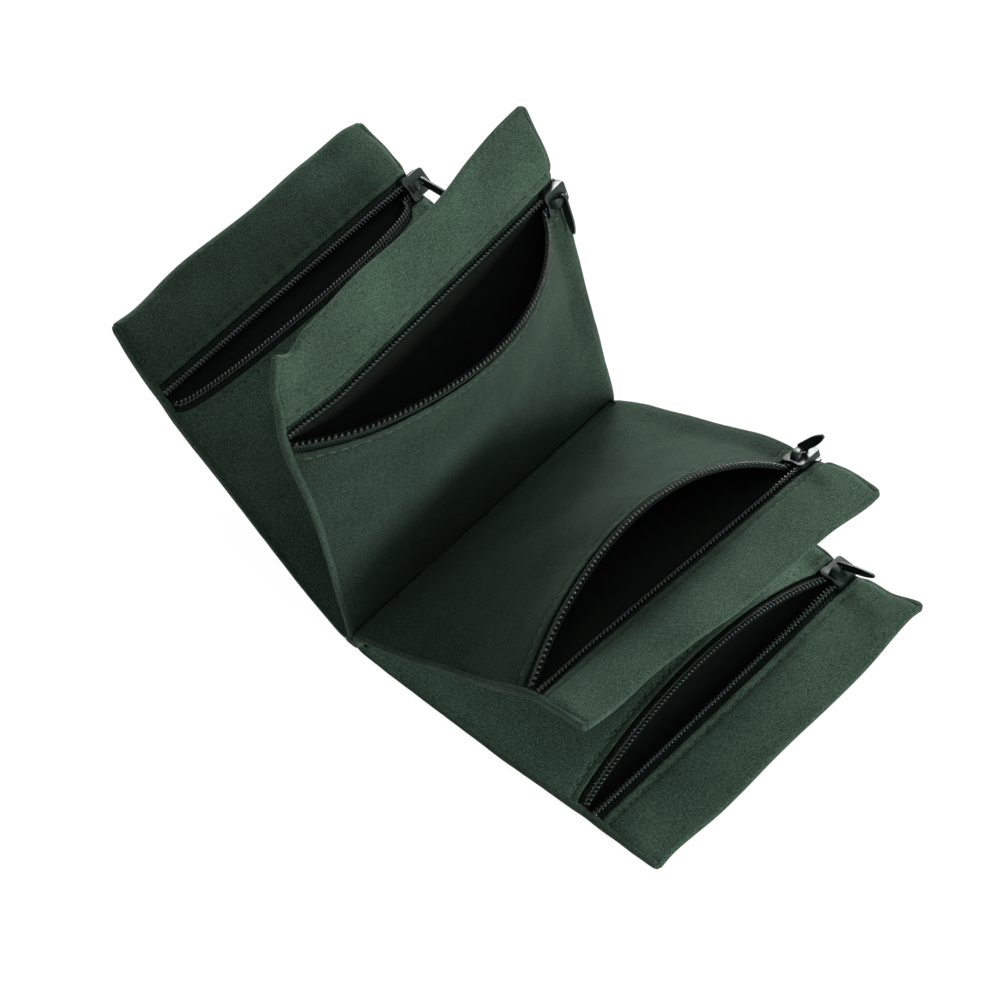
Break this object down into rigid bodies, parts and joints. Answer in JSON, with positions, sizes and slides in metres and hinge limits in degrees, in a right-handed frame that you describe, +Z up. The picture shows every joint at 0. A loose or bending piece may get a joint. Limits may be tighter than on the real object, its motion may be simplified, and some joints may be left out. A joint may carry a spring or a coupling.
{
  "type": "jewelry pouch",
  "caption": "Book-style soft jewelry pouch: a cover and an inner leaf sewn along a spine, each wing a flat suede pocket with its own zip, slider and pull tab.",
  "frame": {"origin": "middle of the spine seam's underside, on the surface the pouch stands on", "axes": "+X along the spine towards the parked sliders, +Y from the spine towards the raised left wings, +Z up; the right cover wing lies flat towards -Y"},
  "size_m": [0.1213, 0.225, 0.1145],
  "materials": {
    "suede": "matt napped microsuede",
    "zip_tape": "woven polyester tape",
    "zip_coil": "glossy nylon monofilament",
    "slider_metal": "enamelled die-cast zinc"
  },
  "bodies": {
    "cover_right": {"spine_seam": "suede", "cover_right_back": "suede", "cover_right_front_panel": "suede", "cover_right_near_seam": "suede", "cover_right_far_seam": "suede", "cover_right_hem_tape": "zip_tape", "cover_right_panel_tape": "zip_tape", "cover_right_hem_coil": "zip_coil", "cover_right_panel_coil": "zip_coil"},
    "cover_right_slider": {"cover_right_slider": "slider_metal"},
    "cover_right_pull_tab": {"cover_right_pull_tab": "slider_metal"},
    "leaf_right": {"leaf_right_back": "suede", "leaf_right_front_panel": "suede", "leaf_right_near_seam": "suede", "leaf_right_far_seam": "suede", "leaf_right_hem_tape": "zip_tape", "leaf_right_panel_tape": "zip_tape", "leaf_right_hem_coil": "zip_coil", "leaf_right_panel_coil": "zip_coil"},
    "leaf_right_slider": {"leaf_right_slider": "slider_metal"},
    "leaf_right_pull_tab": {"leaf_right_pull_tab": "slider_metal"},
    "leaf_left": {"leaf_left_back": "suede", "leaf_left_front_panel": "suede", "leaf_left_near_seam": "suede", "leaf_left_far_seam": "suede", "leaf_left_hem_tape": "zip_tape", "leaf_left_panel_tape": "zip_tape", "leaf_left_hem_coil": "zip_coil", "leaf_left_panel_coil": "zip_coil"},
    "leaf_left_slider": {"leaf_left_slider": "slider_metal"},
    "leaf_left_pull_tab": {"leaf_left_pull_tab": "slider_metal"},
    "cover_left": {"cover_left_back": "suede", "cover_left_front_panel": "suede", "cover_left_near_seam": "suede", "cover_left_far_seam": "suede", "cover_left_hem_tape": "zip_tape", "cover_left_panel_tape": "zip_tape", "cover_left_hem_coil": "zip_coil", "cover_left_panel_coil": "zip_coil"},
    "cover_left_slider": {"cover_left_slider": "slider_metal"},
    "cover_left_pull_tab": {"cover_left_pull_tab": "slider_metal"}
  },
  "joints": [
    {"name": "cover_right_zip_slide", "type": "slide", "parent": "cover_right", "child": "cover_right_slider", "axis": [-1, 0, 0], "range_m": [0, 0.09]},
    {"name": "cover_right_tab_swing", "type": "hinge", "parent": "cover_right_slider", "child": "cover_right_pull_tab", "pos_m": [0.0572, -0.0931, 0.00729], "axis": [1, 0, 0], "range_deg": [-156, 30]},
    {"name": "leaf_right_fold", "type": "hinge", "parent": "cover_right", "child": "leaf_right", "pos_m": [0, -0.0011, 0.0034], "axis": [-1, 0, 0], "range_deg": [-20, 38]},
    {"name": "leaf_right_zip_slide", "type": "slide", "parent": "leaf_right", "child": "leaf_right_slider", "axis": [-0.9987, 0.0251, 0.0434], "range_m": [0, 0.09]},
    {"name": "leaf_right_tab_swing", "type": "hinge", "parent": "leaf_right_slider", "child": "leaf_right_pull_tab", "pos_m": [0.05754, -0.07445, 0.05042], "axis": [0.9987, -0.0251, -0.0434], "range_deg": [-148, 38]},
    {"name": "leaf_left_fold", "type": "hinge", "parent": "cover_right", "child": "leaf_left", "pos_m": [0, 0.0011, 0.0034], "axis": [-1, 0, 0], "range_deg": [-33, 28]},
    {"name": "leaf_left_zip_slide", "type": "slide", "parent": "leaf_left", "child": "leaf_left_slider", "axis": [-0.998, -0.0605, 0.0164], "range_m": [0, 0.09]},
    {"name": "leaf_left_tab_swing", "type": "hinge", "parent": "leaf_left_slider", "child": "leaf_left_pull_tab", "pos_m": [0.05762, 0.02081, 0.08821], "axis": [-0.998, -0.0605, 0.0164], "range_deg": [0, 186]},
    {"name": "cover_left_fold", "type": "hinge", "parent": "cover_right", "child": "cover_left", "pos_m": [0, 0.0026, 0.0008], "axis": [-1, 0, 0], "range_deg": [-28, 20]},
    {"name": "cover_left_zip_slide", "type": "slide", "parent": "cover_left", "child": "cover_left_slider", "axis": [-0.9958, -0.0467, 0.0785], "range_m": [0, 0.09]},
    {"name": "cover_left_tab_swing", "type": "hinge", "parent": "cover_left_slider", "child": "cover_left_pull_tab", "pos_m": [0.05782, 0.07845, 0.04768], "axis": [-0.9958, -0.0467, 0.0785], "range_deg": [-45, 141]}
  ]
}
